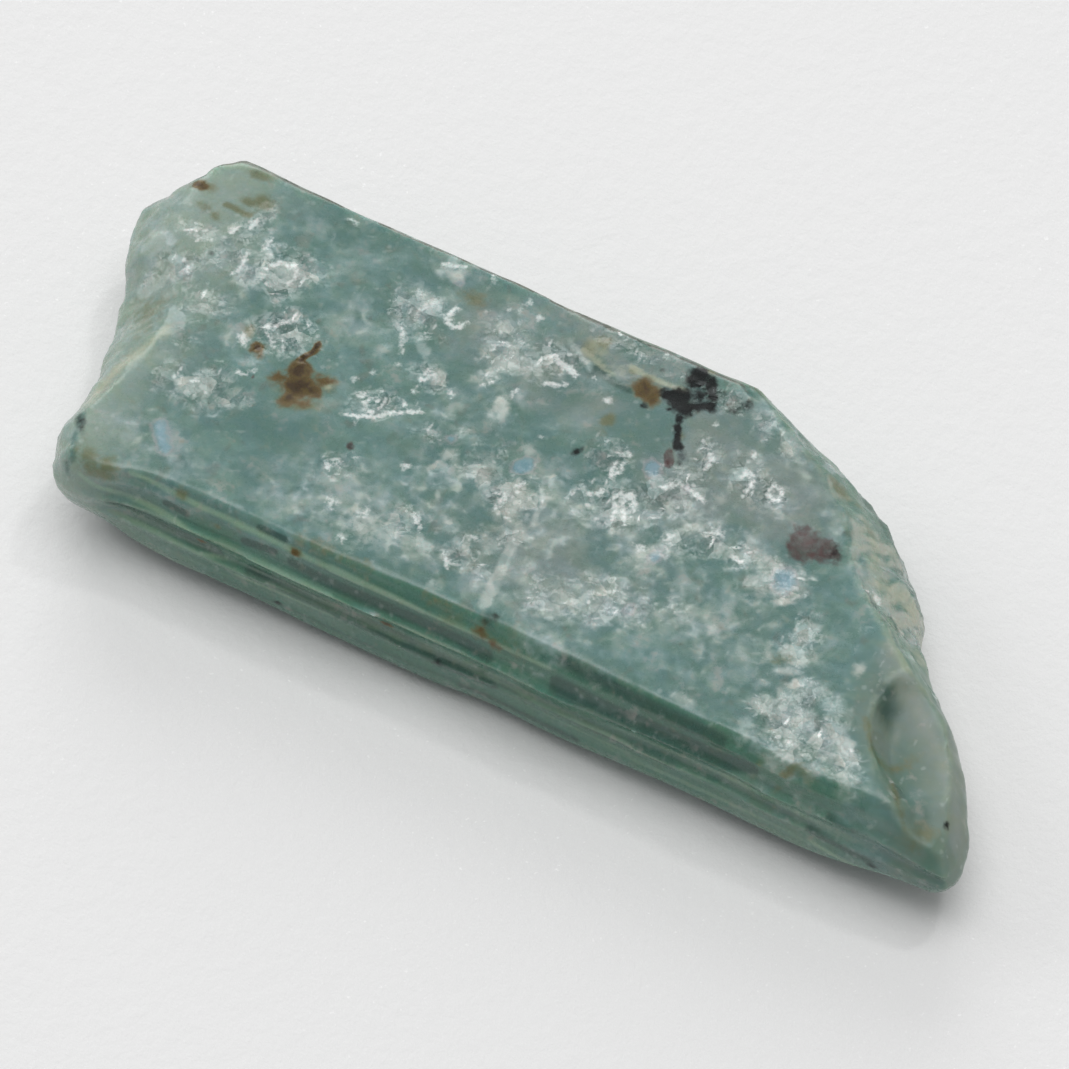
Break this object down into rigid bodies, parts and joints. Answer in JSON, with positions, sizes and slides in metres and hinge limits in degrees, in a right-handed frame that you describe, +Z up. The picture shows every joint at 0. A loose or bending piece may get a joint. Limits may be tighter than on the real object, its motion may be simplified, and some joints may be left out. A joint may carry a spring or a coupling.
{
  "type": "rough kyanite crystal blade",
  "caption": "Loose rough blade of teal-green kyanite, split into ledges along its cleavage and broken obliquely at one end; a mineral specimen lying on its flat face.",
  "frame": {"origin": "centre of the part's box in plan, on the table that it rests on", "axes": "+X along the blade towards its thin tip, +Y from the stepped side to the straight back side, +Z up, square to the cleavage face that it lies on"},
  "size_m": [0.0182, 0.007, 0.0025],
  "materials": {
    "kyanite": "glassy to pearly natural cleavage and fracture faces, translucent teal green"
  },
  "bodies": {
    "root": {"kyanite_crystal": "kyanite"}
  },
  "joints": []
}
